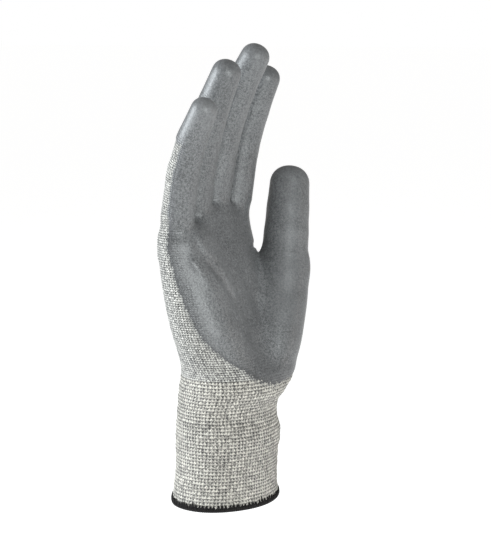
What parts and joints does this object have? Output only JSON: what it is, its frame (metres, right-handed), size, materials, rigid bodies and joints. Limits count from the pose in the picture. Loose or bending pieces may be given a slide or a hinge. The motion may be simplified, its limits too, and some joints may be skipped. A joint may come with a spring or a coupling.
{
  "type": "cut resistant glove",
  "caption": "Right-hand cut-resistant knit glove with a dipped palm and fingertips, a long ribbed cuff and an overlocked hem.",
  "frame": {"origin": "centre of the wrist opening, in the plane of the hem", "axes": "+Z from the wrist opening to the fingertips, +X out of the palm side, +Y toward the thumb side"},
  "size_m": [0.0624, 0.11, 0.2561],
  "materials": {
    "knit": "fine plain knit in grey and off-white marled yarn",
    "cuff_knit": "coarse knit in black-flecked off-white marled yarn",
    "coating": "thin dark grey dipped film, soft gloss, the knit showing through",
    "hem_thread": "black overlock stitching",
    "elastic": "covered elastic thread"
  },
  "bodies": {
    "cuff": {"hem_overlock": "hem_thread", "cuff_knit": "cuff_knit", "cuff_elastic": "elastic"},
    "wrist_band": {"wrist_band_knit": "cuff_knit"},
    "palm": {"palm_knit": "knit", "palm_coating": "coating"},
    "little_proximal": {"little_proximal_knit": "knit", "little_proximal_coating": "coating"},
    "little_middle": {"little_middle_knit": "knit", "little_middle_coating": "coating"},
    "little_distal": {"little_distal_knit": "knit", "little_distal_coating": "coating"},
    "ring_proximal": {"ring_proximal_knit": "knit", "ring_proximal_coating": "coating"},
    "ring_middle": {"ring_middle_knit": "knit", "ring_middle_coating": "coating"},
    "ring_distal": {"ring_distal_knit": "knit", "ring_distal_coating": "coating"},
    "middle_proximal": {"middle_proximal_knit": "knit", "middle_proximal_coating": "coating"},
    "middle_middle": {"middle_middle_knit": "knit", "middle_middle_coating": "coating"},
    "middle_distal": {"middle_distal_knit": "knit", "middle_distal_coating": "coating"},
    "index_proximal": {"index_proximal_knit": "knit", "index_proximal_coating": "coating"},
    "index_middle": {"index_middle_knit": "knit", "index_middle_coating": "coating"},
    "index_distal": {"index_distal_knit": "knit", "index_distal_coating": "coating"},
    "thumb_root": {"thumb_root_knit": "knit", "thumb_root_coating": "coating"},
    "thumb_proximal": {"thumb_proximal_knit": "knit", "thumb_proximal_coating": "coating"},
    "thumb_distal": {"thumb_distal_knit": "knit", "thumb_distal_coating": "coating"}
  },
  "joints": [
    {"name": "wrist_tilt", "type": "hinge", "parent": "cuff", "child": "wrist_band", "pos_m": [0, 0, 0.04], "axis": [1, 0, 0], "range_deg": [-10, 15]},
    {"name": "wrist_bend", "type": "hinge", "parent": "wrist_band", "child": "palm", "pos_m": [0.002, 0, 0.06], "axis": [0, 1, 0], "range_deg": [-32, 32]},
    {"name": "little_knuckle", "type": "hinge", "parent": "palm", "child": "little_proximal", "pos_m": [-0.0115, -0.032, 0.163], "axis": [0, 0.9962, 0.0872], "range_deg": [-8, 60]},
    {"name": "little_middle_joint", "type": "hinge", "parent": "little_proximal", "child": "little_middle", "pos_m": [-0.00673, -0.03414, 0.18745], "axis": [0, 0.9962, 0.0872], "range_deg": [-8, 60]},
    {"name": "little_tip_joint", "type": "hinge", "parent": "little_middle", "child": "little_distal", "pos_m": [0.00026, -0.03573, 0.20558], "axis": [0, 0.9962, 0.0872], "range_deg": [-4, 27.5]},
    {"name": "ring_knuckle", "type": "hinge", "parent": "palm", "child": "ring_proximal", "pos_m": [-0.014, -0.0112, 0.17], "axis": [0, 0.9994, 0.0349], "range_deg": [-8, 60]},
    {"name": "ring_middle_joint", "type": "hinge", "parent": "ring_proximal", "child": "ring_middle", "pos_m": [-0.00856, -0.01218, 0.19796], "axis": [0, 0.9994, 0.0349], "range_deg": [-8, 60]},
    {"name": "ring_tip_joint", "type": "hinge", "parent": "ring_middle", "child": "ring_distal", "pos_m": [-0.0001, -0.01303, 0.22253], "axis": [0, 0.9994, 0.0349], "range_deg": [-4, 27.5]},
    {"name": "middle_knuckle", "type": "hinge", "parent": "palm", "child": "middle_proximal", "pos_m": [-0.0145, 0.0104, 0.173], "axis": [0, 0.9998, -0.0175], "range_deg": [-8, 60]},
    {"name": "middle_middle_joint", "type": "hinge", "parent": "middle_proximal", "child": "middle_middle", "pos_m": [-0.00839, 0.01095, 0.20441], "axis": [0, 0.9998, -0.0175], "range_deg": [-8, 60]},
    {"name": "middle_tip_joint", "type": "hinge", "parent": "middle_middle", "child": "middle_distal", "pos_m": [0.00182, 0.01141, 0.23101], "axis": [0, 0.9998, -0.0175], "range_deg": [-4, 27.5]},
    {"name": "index_knuckle", "type": "hinge", "parent": "palm", "child": "index_proximal", "pos_m": [-0.013, 0.032, 0.169], "axis": [0, 0.9986, -0.0523], "range_deg": [-8, 60]},
    {"name": "index_middle_joint", "type": "hinge", "parent": "index_proximal", "child": "index_middle", "pos_m": [-0.00917, 0.03343, 0.1962], "axis": [0, 0.9986, -0.0523], "range_deg": [-8, 60]},
    {"name": "index_tip_joint", "type": "hinge", "parent": "index_middle", "child": "index_distal", "pos_m": [-0.00216, 0.03463, 0.21912], "axis": [0, 0.9986, -0.0523], "range_deg": [-4, 27.5]},
    {"name": "thumb_swing", "type": "hinge", "parent": "palm", "child": "thumb_root", "pos_m": [0.0145, 0.0426, 0.135], "axis": [-0.6162, 0.7356, -0.2813], "range_deg": [0, 25]},
    {"name": "thumb_knuckle", "type": "hinge", "parent": "thumb_root", "child": "thumb_proximal", "pos_m": [0.01328, 0.04668, 0.14834], "axis": [-0.7828, -0.6116, 0.1154], "range_deg": [-15, 6]},
    {"name": "thumb_tip_joint", "type": "hinge", "parent": "thumb_proximal", "child": "thumb_distal", "pos_m": [0.01202, 0.0509, 0.16215], "axis": [-0.7828, -0.6116, 0.1154], "range_deg": [-40, 6]}
  ],
  "couplings": [
    {"joint": "little_tip_joint", "follows": "little_middle_joint", "ratio": 0.45},
    {"joint": "ring_tip_joint", "follows": "ring_middle_joint", "ratio": 0.45},
    {"joint": "middle_tip_joint", "follows": "middle_middle_joint", "ratio": 0.45},
    {"joint": "index_tip_joint", "follows": "index_middle_joint", "ratio": 0.45}
  ]
}
